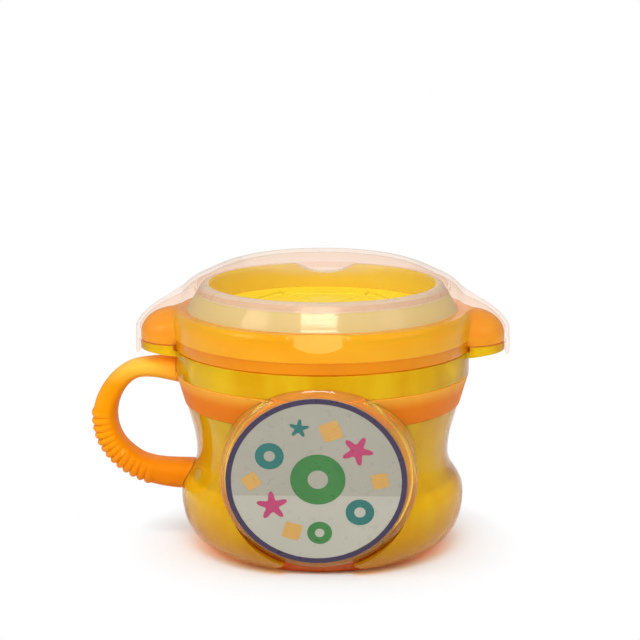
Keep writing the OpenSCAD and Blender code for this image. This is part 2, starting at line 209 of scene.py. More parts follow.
# A soft noise in the piece's own place, features about size millimetres wide
def clouds(material, size, detail=2.0, stretch=(1, 1, 1)):
    place = addNode(material, "ShaderNodeTexCoord")
    scale = addNode(material, "ShaderNodeMapping")
    scale.inputs["Scale"].default_value = stretch
    noise = addNode(material, "ShaderNodeTexNoise", Scale=1 / (size * mm), Detail=detail)
    join(material, place.outputs["Object"], scale.inputs["Vector"])
    join(material, scale.outputs["Vector"], noise.inputs["Vector"])
    return noise.outputs["Fac"]


def ranged(material, value, fromLow, fromHigh, toLow, toHigh):
    node = addNode(material, "ShaderNodeMapRange")
    for socket, number in zip(("From Min", "From Max", "To Min", "To Max"), (fromLow, fromHigh, toLow, toHigh)):
        node.inputs[socket].default_value = number
    join(material, value, node.inputs["Value"])
    return node.outputs["Result"]


# Two colours mixed by a value from 0 to 1
def mixedColours(material, value, first, second):
    node = addNode(material, "ShaderNodeMix", data_type="RGBA")
    join(material, value, node.inputs["Factor"])
    for socket, colour in ((node.inputs[6], first), (node.inputs[7], second)):
        if isinstance(colour, tuple):
            socket.default_value = colour
        else:
            join(material, colour, socket)
    return node.outputs[2]


# A value that goes from the first number to the second between two heights
def byHeight(material, low, high, atLow, atHigh):
    parts = addNode(material, "ShaderNodeSeparateXYZ")
    join(material, addNode(material, "ShaderNodeTexCoord").outputs["Object"], parts.inputs[0])
    return ranged(material, parts.outputs["Z"], low * mm, high * mm, atLow, atHigh)


# A fine relief from a noise
def relief(material, shader, size, depth, detail=2.0, stretch=(1, 1, 1)):
    bump = addNode(material, "ShaderNodeBump", Strength=0.5, Distance=depth * mm)
    join(material, clouds(material, size, detail, stretch), bump.inputs["Height"])
    join(material, bump.outputs["Normal"], shader.inputs["Normal"])


# Lamps shine through: to shadow rays the surface is tinted and clear
def lampsPass(material, shader, tint, share=1.0):
    output = material.node_tree.nodes["Material Output"]
    path = addNode(material, "ShaderNodeLightPath")
    amount = addNode(material, "ShaderNodeMath", operation="MULTIPLY")
    amount.inputs[1].default_value = share
    clear = addNode(material, "ShaderNodeBsdfTransparent", Color=tint)
    mix = addNode(material, "ShaderNodeMixShader")
    join(material, path.outputs["Is Shadow Ray"], amount.inputs[0])
    join(material, amount.outputs[0], mix.inputs[0])
    join(material, shader.outputs[0], mix.inputs[1])
    join(material, clear.outputs[0], mix.inputs[2])
    join(material, mix.outputs[0], output.inputs["Surface"])

# Shared outlines of the cup

bodySide = [(39.8, 1.2)] + bez((39.8, 1.2), (45, 3.4), (49.9, 9), (49.9, 19.5))
bodySide += bez((49.9, 19.5), (49.9, 26.5), (44.4, 27.5), (44.4, 34.5))
waistSide = bez((44.4, 34.5), (44.4, 41), (46.4, 46.5), (48, 52.15))
underSide = [(37.6, 12), (39.2, 12.6), (39.6, 14.2), (43.5, 24.5), (44.4, 34.5)]
plateFrame = Matrix.Translation((0, -47.1 * mm, 34.75 * mm)) @ Matrix.Rotation(math.radians(100.5), 4, "X")

# Cup

cup = {"archWidth": 32, "archHeight": 8, "earX": 51, "earRadius": 12.9, "lugAngle": 26, "lugHeight": 2}


def cupWall():
    outline = [(0, 12)] + underSide + waistSide
    outline += [(47.2, 52.15), (50.2, 63.05), (51.35, 63.05), (51.5, 63.25), (51.6, 71.2), (51.45, 71.55),
                (51.2, 71.7)]
    outline += [(47.9, 71.7), (47.6, 72), (47.6, 79.4), (47.5, 79.75), (47.2, 80), (46.5, 80), (46.1, 79.8),
                (46, 79.4), (46, 62.9)]
    outline += bez((46, 62.9), (46, 56.3), (45.2, 54.3), (44.8, 50.3))
    outline += bez((44.8, 50.3), (43, 44.3), (42.4, 42.5), (42.4, 34.5))
    outline += bez((42.4, 34.5), (42.4, 26.5), (37.6, 22), (37.6, 18))
    outline += bez((37.6, 18), (37.6, 15.5), (36.1, 14), (33.6, 14), 8)
    # A shallow moulded dish in the floor
    outline += [(22, 14), (20, 13.75), (0, 13.75)]
    return lathe("cupShell", outline)


def flaredBase():
    outline = bodySide + [(43.4, 34.5), (42.3, 22.5)]
    outline += bez((43.3, 22.5), (44.7, 27.2), (47.9, 25.2), (47.9, 19.5))
    outline += bez((47.9, 19.5), (47.9, 9.8), (42.7, 5.2), (37.9, 1.4))
    outline += [(38.1, 1.2)]
    piece = lathe("flaredBase", outline)
    width, height = cup["archWidth"], cup["archHeight"]
    round = (width * width / 4 + height * height) / (2 * height)
    combine(piece, barAlongY("arch", round, (0, 0, height - round), 150), "DIFFERENCE")
    seat = lathe("plateSeat", [(0, -47.1), (33.4, -47.1), (33.4, 47.1), (0, 47.1)])
    combine(piece, place(seat, plateFrame), "DIFFERENCE")
    return piece


# The tab under one ear of the lid
def cupTab(side):
    radius = cup["earRadius"]
    piece = lathe("tab", [(0, 60), (radius, 60), (radius, 73.1), (radius - 0.15, 73.4), (radius - 0.5, 73.5),
                          (0, 73.5)], 96, (side * cup["earX"], 0))
    ring = lathe("tabRing", rounded([(50, 69.4), (56, 70.1), (63.9, 70.9), (63.9, 76), (50, 76)], 0.8))
    combine(piece, ring, "INTERSECT")
    over = lathe("lidRoom", [(0, 71.7), (52.9, 71.7), (52.9, 80), (0, 80)])
    return combine(piece, over, "DIFFERENCE")


def lugs(inner, outer, low):
    piece = lathe("lugs", rounded([(inner, low), (outer, low), (outer, low + cup["lugHeight"]),
                                   (inner, low + cup["lugHeight"])], 0.4))
    spans = [wedge("span", math.radians(90 + 120 * k), math.radians(cup["lugAngle"]), 80, 60, 90)
             for k in range(3)]
    for other in spans[1:]:
        combine(spans[0], other, "UNION")
    return combine(piece, spans[0], "INTERSECT")


def makeCup():
    piece = cupWall()
    combine(piece, flaredBase(), "UNION")
    for side in (-1, 1):
        combine(piece, cupTab(side), "UNION")
    combine(piece, lugs(47.1, 49.2, 74.8), "UNION")
    return tidyMesh(piece)


# Foot

foot = {"radius": 37, "height": 12, "wall": 2.4, "edge": 1}


def makeFoot():
    r, h, wall, edge = foot["radius"], foot["height"], foot["wall"], foot["edge"]
    outline = [(0, 0.6), (r - 7, 0.6), (r - 8 + 1.6, 0), (r, 0), (r, h), (r - wall, h), (r - wall, wall), (0, wall)]
    return lathe("footTray", rounded(outline, edge, 5))


# Handle and collar

handle = {"rootThickness": 8.4, "bowThickness": 6.2, "gripThickness": 8.4, "lowThickness": 10.4, "width": 14,
          "ribs": 13, "ribHeight": 0.6, "grooveDepth": 0.55, "ribFrom": 1.9, "ribTo": 3.35, "corners": 48}
handleLine = [[(49, 62.4), (54.5, 63.4), (59.2, 64), (64.2, 63.2)],
              [(64.2, 63.2), (71, 62.1), (77, 53.5), (77, 46)],
              [(77, 46), (77, 38.6), (73.6, 33.1), (67.1, 28.9)],
              [(67.1, 28.9), (61, 25), (52.9, 24.8), (41.9, 24.5)]]


def onHandle(s):
    k = min(int(s), 3)
    t = s - k
    w = ((1 - t) ** 3, 3 * t * (1 - t) ** 2, 3 * t * t * (1 - t), t ** 3)
    return Vector([sum(a * p[n] for a, p in zip(w, handleLine[k])) for n in (0, 1)])


def handleHalf(s):
    sizes = [handle[key] for key in ("rootThickness", "bowThickness", "gripThickness", "gripThickness",
                                     "lowThickness")]
    k = min(int(s), 3)
    t = s - k
    return (sizes[k] + (sizes[k + 1] - sizes[k]) * (3 * t * t - 2 * t * t * t)) / 2


def ribLift(s):
    low, high = handle["ribFrom"], handle["ribTo"]
    if not low < s < high:
        return 0
    wave = abs(math.sin(math.pi * handle["ribs"] * (s - low) / (high - low))) ** 0.7
    ends = min(1, (s - low) / 0.06, (high - s) / 0.06)
    return handle["ribHeight"] * wave - handle["grooveDepth"] * ends * (1 - wave)


def softened(v):
    return math.copysign(abs(v) ** 0.72, v)


def handleRing(s):
    middle = onHandle(s)
    along = (onHandle(min(s + 0.01, 4)) - onHandle(max(s - 0.01, 0))).normalized()
    out = Vector((-along.y, along.x))
    half, ring = handleHalf(s), []
    for i in range(handle["corners"]):
        a = 2 * math.pi * i / handle["corners"]
        u, w = softened(math.cos(a)), softened(math.sin(a))
        lift = ribLift(s) * max(0, min(1, 0.75 + u))
        at = middle + out * u * (half + lift)
        ring.append((-at.x, w * (handle["width"] / 2 + lift * 0.5), at.y))
    return ring


def handleBow():
    low, high, ribs = handle["ribFrom"], handle["ribTo"], handle["ribs"] * 10
    stations = [low * i / 50 for i in range(50)] + [low + (high - low) * i / ribs for i in range(ribs)]
    stations += [high + (4 - high) * i / 16 for i in range(17)]
    n, verts, faces = handle["corners"], [], []
    for s in stations:
        verts += handleRing(s)
    for k in range(len(stations) - 1):
        for i in range(n):
            j = (i + 1) % n
            faces.append((k * n + i, k * n + j, (k + 1) * n + j, (k + 1) * n + i))
    last = (len(stations) - 1) * n
    faces += [tuple(range(n - 1, -1, -1)), tuple(range(last, last + n))]
    piece = tidyMesh(newObject("handleBow", verts, faces))
    room = [(0, 1.05)] + widened(bodySide + waistSide, 0.15)
    room += [(47.35, 52.15), (50.35, 62.9), (51.65, 62.9), (51.65, 71.7), (0, 71.7)]
    return combine(piece, lathe("cupRoom", room), "DIFFERENCE")


def makeHandle():
    outline = [(47.35, 52.3), (48.4, 52.3), (51.5, 62.9), (50.35, 62.9)]
    piece = lathe("handleCollar", rounded(outline, 0.35, 4))
    tidyMesh(combine(piece, handleBow(), "UNION"), 50)
    # The collar's faces take the copy with painted shade
    for face in piece.data.polygons:
        if math.hypot(face.center.x, face.center.y) < 51.6 * mm and face.center.z > 52 * mm:
            face.material_index = 1
    return piece


# Round plate and label, drawn flat and turned to the front of the cup

plate = {"radius": 33, "faceRadius": 31.2, "bevel": 1.4, "wall": 1.8}
label = {"radius": 30.3, "ringInside": 28.4, "across": -0.7, "thickness": 0.24, "printThickness": 0.05}


def makePlate():
    r, wall = plate["radius"], plate["wall"]
    outline = [(0, 0), (plate["faceRadius"], 0), (r, -plate["bevel"]), (r, -47.1), (r - wall, -47.1),
               (r - wall, -wall - 0.8), (r - wall - 0.8, -wall), (0, -wall)]
    piece = place(lathe("labelPlate", rounded(outline, 0.9, 5)), plateFrame)
    room = [(0, -3), (37.15, -3), (37.15, 11.7)] + widened(underSide[1:] + waistSide, 0.15)
    room += [(48.55, 52.3), (51.65, 62.9), (51.65, 80), (0, 80)]
    return tidyMesh(combine(piece, lathe("coreRoom", room), "DIFFERENCE"))


def circlePoints(radius, middle=(0, 0), count=48):
    return [(middle[0] + radius * math.cos(2 * math.pi * k / count),
             middle[1] + radius * math.sin(2 * math.pi * k / count)) for k in range(count)]


def starPoints(outer, inner, middle, points=5, turn=0.3):
    corners = []
    for k in range(2 * points * 6):
        a = math.pi * k / (points * 6)
        swing = (1 + math.cos(points * a)) / 2
        r = inner + (outer - inner) * swing ** 1.6
        corners.append((middle[0] + r * math.cos(a + turn), middle[1] + r * math.sin(a + turn)))
    return corners


def crackerPoints(half, middle, turn):
    corners = []
    for k in range(64):
        a = 2 * math.pi * k / 64
        r = half * (1 + 0.035 * math.cos(24 * a)) / max(abs(math.cos(a)), abs(math.sin(a))) ** 0.86
        corners.append((middle[0] + r * math.cos(a + turn), middle[1] + r * math.sin(a + turn)))
    return corners


# One printed shape, solid or with a hole, added to the label's lists
def printShape(verts, faces, marks, outline, low, high, mark, hole=None):
    start, n = len(verts), len(outline)
    loops = [outline] if hole is None else [outline, hole]
    for z in (low, high):
        for loop in loops:
            verts += [(x, y, z) for x, y in loop]
    for index, loop in enumerate(loops):
        a, b = start + index * n, start + (index + len(loops)) * n
        faces += [(a + i, a + (i + 1) % n, b + (i + 1) % n, b + i) for i in range(n)]
        marks += [mark] * n
    if hole is None:
        faces += [tuple(range(start, start + n)), tuple(range(start + n, start + 2 * n))]
        marks += [mark] * 2
        return
    for a, b in ((start, start + n), (start + 2 * n, start + 3 * n)):
        faces += [(a + i, a + (i + 1) % n, b + (i + 1) % n, b + i) for i in range(n)]
        marks += [mark] * n


def makeLabel():
    verts, faces, marks = [], [], []
    low, high = 0.12, label["thickness"]

    def add(outline, mark, hole=None, lift=1):
        printShape(verts, faces, marks, outline, low, high + lift * label["printThickness"] / 2, mark, hole)
    printShape(verts, faces, marks, circlePoints(label["radius"], count=160), 0, high, 0)
    add(circlePoints(label["radius"] - 0.05, count=160), 1,
        circlePoints(label["ringInside"], count=160))
    # The paler table top in the lower part
    rise = math.asin(-5 / label["ringInside"])
    table = [((label["ringInside"] + 0.1) * math.cos(a), (label["ringInside"] + 0.1) * math.sin(a))
             for a in [math.pi - rise + (math.pi + 2 * rise) * k / 60 for k in range(61)]]
    add(table, 2)
    # Snack shapes: loops, stars and crackers
    for radius, inner, middle, mark in ((9.2, 3.4, (0.5, 1), 3), (4.8, 1.9, (-15.5, 9.5), 4),
                                        (4.8, 1.9, (14.5, -11), 4), (4.2, 1.6, (1, -18.8), 3)):
        add(circlePoints(radius, middle), mark, circlePoints(inner, middle), 2)
    for radius, middle, mark, turn in ((5.4, (-14.8, -8.8), 5, 0.4), (5.4, (13.6, 11.6), 5, 1.1),
                                       (3.4, (-5.6, 19.6), 4, 0.2)):
        add(starPoints(radius, radius * 0.45, middle, turn=turn), mark, None, 2)
    for half, middle, turn in ((3.3, (4.9, 18.6), 0.35), (3, (-8.2, -18.2), -0.3), (2.7, (21.2, 0.6), 0.2),
                               (2.7, (-21.6, 0.2), 0.6)):
        add(crackerPoints(half, middle, turn), 6, None, 2)
    piece = newObject("frontSticker", verts, faces)
    for face, mark in zip(piece.data.polygons, marks):
        face.material_index = mark
    return place(tidyMesh(piece), plateFrame @ Matrix.Translation((label["across"] * mm, 0, 0)))


# Sealing ring

seal = {"outside": 49.6, "inside": 45, "low": 80, "thickness": 1.5}


def makeSeal():
    low, high = seal["low"], seal["low"] + seal["thickness"]
    outline = [(seal["inside"], low), (seal["outside"], low), (seal["outside"], high), (seal["inside"], high)]
    outline = rounded(outline, 0.45, 4)
    return lathe("sealRing", outline)


# Lid

lid = {"ledge": 85, "rimTop": 94.2, "scallopWidth": 22, "scallopDepth": 3.6, "blend": 2.6,
       "notchDepth": 3, "notchHeight": 5.6, "notchRadius": 100}
lidEar = {"x": 51, "radius": 12.9, "low": 75.2, "top": 85, "round": 2.2}
lidSide = [(52.4, 70), (52.4, 79.5)] + bez((52.4, 79.5), (52.4, 82.6), (51.5, 85), (50.4, 85)) + [(40, 85)]


# How far a ray from the origin, rising by an angle, runs before it meets the line
def reachToLine(origin, rise, line):
    dx, dz = math.cos(rise), math.sin(rise)
    for (ax, az), (bx, bz) in zip(line, line[1:]):
        ex, ez = bx - ax, bz - az
        size = dx * ez - dz * ex
        if abs(size) < 1e-9:
            continue
        t = ((ax - origin[0]) * ez - (az - origin[1]) * ex) / size
        u = ((ax - origin[0]) * dz - (az - origin[1]) * dx) / size
        if t > 0 and -1e-6 <= u <= 1 + 1e-6:
            return t
    return 0


# The same for the round end of an ear
def reachToEar(origin, rise, turn, ear):
    def inside(t):
        r, z = origin[0] + t * math.cos(rise), origin[1] + t * math.sin(rise)
        across = math.hypot(r * abs(math.cos(turn)) - ear["x"], r * math.sin(turn)) / ear["radius"]
        up = max(z - ear["low"], 0) / (ear["top"] - ear["low"])
        return across ** ear["round"] + up ** ear["round"] < 1
    far = 30
    while far > 0 and not inside(far):
        far -= 0.5
    if far <= 0:
        return 0
    near, step = far, 0.5
    for _ in range(14):
        step /= 2
        if inside(near + step):
            near += step
    return near


def blended(a, b, width):
    near = max(width - abs(a - b), 0) / width
    return max(a, b) + near * near * width / 4


# The outer side of a shell with ears: points from level with the origin to straight above it
def earedSide(origin, turn, line, ear, blend, top, count):
    points = []
    for i in range(count + 1):
        rise = math.pi / 2 * i / count
        t = blended(reachToLine(origin, rise, line), reachToEar(origin, rise, turn, ear), blend)
        points.append((origin[0] + t * math.cos(rise), min(origin[1] + t * math.sin(rise), top)))
    return points


def earTurns():
    near = [k / 2 for k in range(720) if min(k / 2 % 180, 180 - k / 2 % 180) < 19 or k % 3 == 0]
    return [math.radians(a) for a in near]


def lidOutline(turn):
    side = earedSide((48, 76.6), turn, lidSide, lidEar, lid["blend"], lid["ledge"], 26)
    out = side[0][0]
    share = max(0, min(1, (out - 52.4) / 1.5))
    edge = 75.8 - 2 * share * share * (3 - 2 * share)
    inside = [(47.7, 85)] + bez((47.7, 85), (47.35, 85), (47.1, 85.2), (46.9, 85.6), 5)
    inside += bez((46.9, 85.6), (45.6, 88.2), (44.2, 90.6), (42.8, 92.8), 8)
    inside += bez((42.8, 92.8), (42.2, 93.8), (41.4, 94.2), (40.5, 94.2), 7)
    inside += bez((40.5, 94.2), (39.6, 94.2), (39.15, 93.6), (39.1, 92.6), 7)
    inside += [(39, 90), (38.8, 85.5), (40.6, 85.5), (40.85, 88.2)]
    inside += bez((40.85, 88.2), (40.95, 89.6), (41.6, 89.1), (44.1, 86.8), 8)
    inside += [(44.6, 86.2), (44.6, 81.5), (50, 81.5)]
    inside += [(50, 72.4), (50.1, 72.1), (50.4, 72), (51.4, 72), (51.7, 72.1), (51.8, 72.4)]
    inside += [(51.8, edge), (out - 0.6, edge), (out - 0.2, edge + 0.15), (out, edge + 0.5)]
    return inside + side


def makeLid():
    piece = spun("lidShell", earTurns(), lidOutline)
    wall = 1.8
    for side in (-1, 1):
        hollow = [(0, 70), (11.1, 70), (11.1, 75.2)]
        hollow += [(11.1 * math.cos(a) ** (2 / 2.2), 75.2 + (83.2 - 75.2) * math.sin(a) ** (2 / 2.2))
                   for a in [math.pi / 2 * k / 14 for k in range(1, 14)]] + [(0, 85 - wall)]
        hollow = lathe("hollow", hollow, 96, (side * 51, 0))
        combine(hollow, lathe("skirtCore", [(0, 60), (52.1, 60), (52.1, 90), (0, 90)]), "DIFFERENCE")
        combine(piece, hollow, "DIFFERENCE")
    combine(piece, lugs(48, 50.5, 72.4), "UNION")
    width, depth = lid["scallopWidth"], lid["scallopDepth"]
    round = (width * width / 4 + depth * depth) / (2 * depth)
    combine(piece, barAlongY("scallop", round, (0, 38.8, lid["rimTop"] - depth + round), 38.8), "DIFFERENCE")
    # The thumb notch in the front, hollowed by a leaning drum
    radius, height = lid["notchRadius"], lid["notchHeight"]
    drumFrame = (Matrix.Translation(Vector((0, -lidSide[0][0], lid["ledge"] - height)) * mm)
                 @ Matrix.Rotation(-math.atan(lid["notchDepth"] / height), 4, "X")
                 @ Matrix.Translation((0, -radius * mm, 0)))
    drum = lathe("drum", [(0, -3 * height), (radius, -3 * height), (radius, 3 * height), (0, 3 * height)], 720)
    combine(piece, place(drum, drumFrame), "DIFFERENCE")
    tidyMesh(piece, 24)
    toDrum = drumFrame.inverted()
    for face in piece.data.polygons:
        x, y, z = face.center / mm
        r = math.hypot(x, y)
        facing = face.normal.dot(Vector((x, y, 0))) / r
        onDrum = abs((toDrum @ face.center).xy.length / mm - radius) < 0.03
        # The lower edge takes the copy with painted shade
        if z < 75.9 and 51 < r < 52.3 and facing > 0.5:
            face.material_index = 2
        # The rim's outer face takes the painted reflection; above 91.5 mm its crest takes the painted grey reflection
        elif z > 85.15 and r > 39.6 and facing > -0.2:
            face.material_index = 4 if z > 91.5 else 1
        elif z > 85.15 and r < 41:
            face.material_index = 3
        # The thumb notch takes the copy with the painted highlight
        elif onDrum and y < -48 and z > lid["ledge"] - height:
            face.material_index = 5
    return piece


# Soft ring and flaps

flaps = {"count": 6, "hinge": 27, "top": 85.35, "thickness": 1.6, "slit": 0.4, "tip": 1.2, "crown": 0.25,
         "dish": 0.9, "corner": 1.6}
flapAngles = [90 + 60 * i for i in range(6)]


def makeFlapRing():
    outline = [(20, 83.6), (44.3, 83.6), (44.45, 83.75), (44.45, 85.5), (42, 85.5), (42, 87.7), (41.85, 87.9),
               (41.35, 87.9), (41.2, 87.7), (41.2, 85.5), (20, 85.5)]
    piece = lathe("flapRing", outline)
    across = 28.1 / math.cos(math.pi / 6)
    corners = [(across * math.cos(math.radians(a + 30)), across * math.sin(math.radians(a + 30)))
               for a in flapAngles]
    return tidyMesh(combine(piece, prism("opening", corners, 80, 90), "DIFFERENCE"))


# A petal's outline in its own frame, hinge towards +X, with rounded corners
def petalOutline(inset):
    slope = math.tan(math.radians(30))
    side = flaps["slit"] / 2 / math.cos(math.radians(30)) + inset / math.cos(math.radians(30))
    rootX, root = flaps["hinge"] + 0.75 - inset, (flaps["hinge"] - 0.8) * slope - side
    tipX = flaps["tip"] + inset * 1.2
    tip = max(tipX * slope - side, 0.02)
    corners = [(tipX, -tip), (rootX - 1.4, -root), (rootX, -root), (rootX, root), (rootX - 1.4, root),
               (tipX, tip)]
    return corners


# An outline's corners rounded and its long sides cut into equal steps
def evenLoop(corners, radius, count):
    out = []
    n = len(corners)
    for i, p in enumerate(corners):
        p = Vector(p)
        toLast, toNext = Vector(corners[i - 1]) - p, Vector(corners[(i + 1) % n]) - p
        reach = min(radius, toLast.length * 0.45, toNext.length * 0.45)
        start, end = p + toLast.normalized() * reach, p + toNext.normalized() * reach
        out += [start * (1 - t) ** 2 + p * 2 * t * (1 - t) + end * t * t for t in [k / 6 for k in range(7)]]
    lengths = [(out[(i + 1) % len(out)] - out[i]).length for i in range(len(out))]
    step, at, i, points = sum(lengths) / count, 0, 0, []
    for k in range(count):
        wanted = k * step
        while at + lengths[i] < wanted:
            at += lengths[i]
            i += 1
        points.append(out[i].lerp(out[(i + 1) % len(out)], (wanted - at) / max(lengths[i], 1e-6)))
    return points


def makePetal(index):
    count = 120
    outer = evenLoop(petalOutline(0), 0.9, count)
    middle = Vector((17, 0))
    top, low = flaps["top"], flaps["top"] - flaps["thickness"]
    # Rings of points from the edge inwards: share of the way in, depth below the top, and the underside
    upper = [(0, 0.55), (0.008, 0.3), (0.02, 0.12), (0.04, 0.02), (0.07, 0), (0.12, 0.02), (0.17, 0.14),
             (0.22, 0.22), (0.3, 0.2), (0.45, 0.12), (0.65, 0.05), (0.85, 0)]
    verts, faces = [], []

    def heightAt(point, drop, base, sign):
        dish = flaps["dish"] * max(0, 1 - point.x / 24) ** 2
        groove = 0.35 * math.exp(-((point.x - 25.2) / 0.7) ** 2) if sign > 0 else 0
        return base - sign * drop - dish * (0.35 if sign > 0 else 0.35) - groove

    for base, sign in ((top, 1), (low, -1)):
        for share, drop in upper:
            ring = [p.lerp(middle, share) for p in outer]
            verts += [(p.x, p.y, heightAt(p, drop, base, sign)) for p in ring]
    rings = len(upper)
    for part in (0, 1):
        for k in range(rings - 1):
            a, b = (part * rings + k) * count, (part * rings + k + 1) * count
            faces += [(a + i, a + (i + 1) % count, b + (i + 1) % count, b + i) for i in range(count)]
        last = (part * rings + rings - 1) * count
        faces.append(tuple(range(last, last + count)))
    faces += [(i, (i + 1) % count, rings * count + (i + 1) % count, rings * count + i) for i in range(count)]
    piece = newObject(f"petal_{index + 1}", verts, faces)
    place(piece, Matrix.Rotation(math.radians(flapAngles[index]), 4, "Z"))
    return tidyMesh(piece, 60)


# Clear cap

cap = {"wall": 1.4, "blend": 7, "gap": 0.4}
capTab = {"x": 51, "radius": 14.7, "top": 90, "round": 1.4, "low": 78.5, "edge": 73.9, "lipDrop": 4.4, "lipWidth": 10}


# The dome's side from below its edge to its top, drawn in by a distance
def domeLine(drawnIn):
    t = drawnIn
    line = [(0, 102 - t), (22, 102 - t)] + bez((22, 102 - t), (33, 102 - t), (38 - t / 2, 98.8 - t),
                                               (44 - t / 2, 96 - t), 20)
    line += bez((44 - t / 2, 96 - t), (48.5 - t / 2, 93.9 - t), (50.6 - t, 91), (50.6 - t, 86.5), 20)
    return (line + [(50.6 - t, 60)])[::-1]


def capSolid(name, drawnIn, floor):
    line = domeLine(drawnIn)
    tab = dict(capTab, radius=capTab["radius"] - drawnIn, top=capTab["top"] - drawnIn)
    origin = (43.2, 79)
    inner = [p for p in line if p[0] < 42.6]

    def outlineAt(turn):
        side = earedSide(origin, turn, line, tab, cap["blend"], 110, 44)
        out = side[0][0]
        return [(0, floor), (out - 0.4, floor), (out, floor + 0.4)] + side + inner
    return spun(name, earTurns(), outlineAt)


# The lip at a tab's end, which passes outside the cup's tab
def tabLip(side):
    r, low, half = capTab["radius"], capTab["edge"] - capTab["lipDrop"], capTab["lipWidth"] / 2
    piece = lathe("lip", [(0, low), (r - 0.3, low), (r - 0.08, low + 0.1), (r, low + 0.35), (r, 75), (0, 75)],
                  160, (side * capTab["x"], 0))
    combine(piece, lathe("tabRoom", [(0, 60), (64.3, 60), (64.3, 90), (0, 90)], 240), "DIFFERENCE")
    across = prism("across", [(-70, -half), (70, -half), (70, half), (-70, half)], 60, 90)
    return combine(piece, across, "INTERSECT")


# The room that the lid's side and ears take below the cap
def lidRoom(turn):
    gap = cap["gap"]
    ear = dict(lidEar, radius=lidEar["radius"] + gap, top=lidEar["top"] + gap)
    line = [(r + gap, z) for r, z in lidSide[:-4]] + [(50.6, 85.4), (40, 85.4)]
    side = earedSide((48, 76.6), turn, line, ear, lid["blend"], 85.4, 26)
    return [(0, 60), (side[0][0], 60)] + side + [(0, 85.4)]


def makeCap():
    piece = capSolid("clearCap", 0, capTab["edge"])
    combine(piece, capSolid("capInside", cap["wall"], 60), "DIFFERENCE")
    combine(piece, spun("lidRoom", earTurns(), lidRoom), "DIFFERENCE")
    for side in (-1, 1):
        combine(piece, tabLip(side), "UNION")
    ring = [(43.8, 91.9), (44.9, 91.9), (45, 95.2), (43.8, 95.5)]
    combine(piece, lathe("capRing", rounded(ring, 0.3)), "UNION")
    return tidyMesh(piece)

# Finishes


# Clear-coloured yellow plastic of the cup: light passes, flow streaks run up the wall
def cupPlastic():
    material, shader = newFinish("cupYellowPlastic")
    streaks = clouds(material, 12, 3, (1, 1, 0.25))
    colour = mixedColours(material, ranged(material, streaks, 0.35, 0.65, 0, 1), seen(246, 198, 18),
                          seen(255, 222, 36))
    # Painted shade: deeper low down and where the wall is seen edge on
    colour = mixedColours(material, byHeight(material, 2, 22, 0.8, 0), colour, seen(206, 126, 10))
    slant = addNode(material, "ShaderNodeLayerWeight", Blend=0.5).outputs["Facing"]
    colour = mixedColours(material, ranged(material, slant, 0.55, 0.95, 0, 0.75), colour, seen(196, 112, 8))
    join(material, colour, shader.inputs["Base Color"])
    # A warm specular tint: painted reflection of the orange and yellow parts around it
    shader.inputs["Specular Tint"].default_value = seen(255, 206, 96)
    shader.inputs["Transmission Weight"].default_value = 0.5
    shader.inputs["IOR"].default_value = 1.47
    join(material, ranged(material, clouds(material, 9), 0.25, 0.75, 0.03, 0.08), shader.inputs["Roughness"])
    shader.inputs["Specular IOR Level"].default_value = 0.4
    relief(material, shader, 10, 0.6, 1, (1, 1, 0.35))
    lampsPass(material, shader, seen(255, 222, 90), 0.9)
    return material


# The foot's deep orange: partly its own colour, partly painted shade for the shadow under the cup
def footPlastic():
    material, shader = newFinish("footOrangePlastic")
    cloud = clouds(material, 18, 3)
    colour = mixedColours(material, cloud, seen(222, 90, 12), seen(234, 104, 20))
    join(material, colour, shader.inputs["Base Color"])
    join(material, ranged(material, clouds(material, 6), 0.25, 0.75, 0.24, 0.38), shader.inputs["Roughness"])
    shader.inputs["Subsurface Weight"].default_value = 0.12
    relief(material, shader, 1.2, 0.02)
    return material


# Satin elastomer of the handle: a fine moulded grain, a painted highlight paler at the top of the bow, painted shade
# deeper low down, and painted highlights on the convex edges
def gripElastomer(name="handleOrangeElastomer", first=(248, 146, 0), second=(254, 164, 2)):
    material, shader = newFinish(name)
    colour = mixedColours(material, clouds(material, 15, 3), seen(*first), seen(*second))
    # Painted highlight at the top of the bow, painted shade low down
    colour = mixedColours(material, byHeight(material, 58, 67, 0, 0.85), colour, seen(255, 216, 86))
    colour = mixedColours(material, byHeight(material, 22, 40, 0.85, 0), colour, seen(226, 116, 4))
    # Painted highlight: paler on the convex edges and rib crests
    geometry = addNode(material, "ShaderNodeNewGeometry")
    edgeHighlight = ranged(material, geometry.outputs["Pointiness"], 0.5, 0.62, 0, 0.5)
    colour = mixedColours(material, edgeHighlight, colour, seen(255, 190, 70))
    join(material, colour, shader.inputs["Base Color"])
    join(material, ranged(material, clouds(material, 3), 0.25, 0.75, 0.4, 0.55), shader.inputs["Roughness"])
    shader.inputs["Specular IOR Level"].default_value = 0.18
    # A warm specular tint: painted reflection of the orange around it
    shader.inputs["Specular Tint"].default_value = seen(255, 196, 110)
    shader.inputs["Subsurface Weight"].default_value = 0.15
    shader.inputs["Subsurface Radius"].default_value = (0.004, 0.002, 0.0008)
    relief(material, shader, 0.5, 0.03)
    return material


# The collar: the handle's elastomer, deeper as painted shade where it lies under the cup's rim against the yellow
# wall
def collarShadedElastomer():
    return gripElastomer("collarShadedOrangeElastomer", (230, 112, 0), (238, 124, 0))


def platePlastic():
    material, shader = newFinish("plateClearPlastic")
    cloud = clouds(material, 20, 3)
    colour = mixedColours(material, cloud, seen(250, 206, 84), seen(254, 214, 104))
    join(material, colour, shader.inputs["Base Color"])
    shader.inputs["Transmission Weight"].default_value = 0.85
    shader.inputs["IOR"].default_value = 1.47
    join(material, ranged(material, clouds(material, 8), 0.25, 0.75, 0.05, 0.14), shader.inputs["Roughness"])
    relief(material, shader, 6, 0.04)
    lampsPass(material, shader, seen(255, 228, 140), 0.9)
    return material


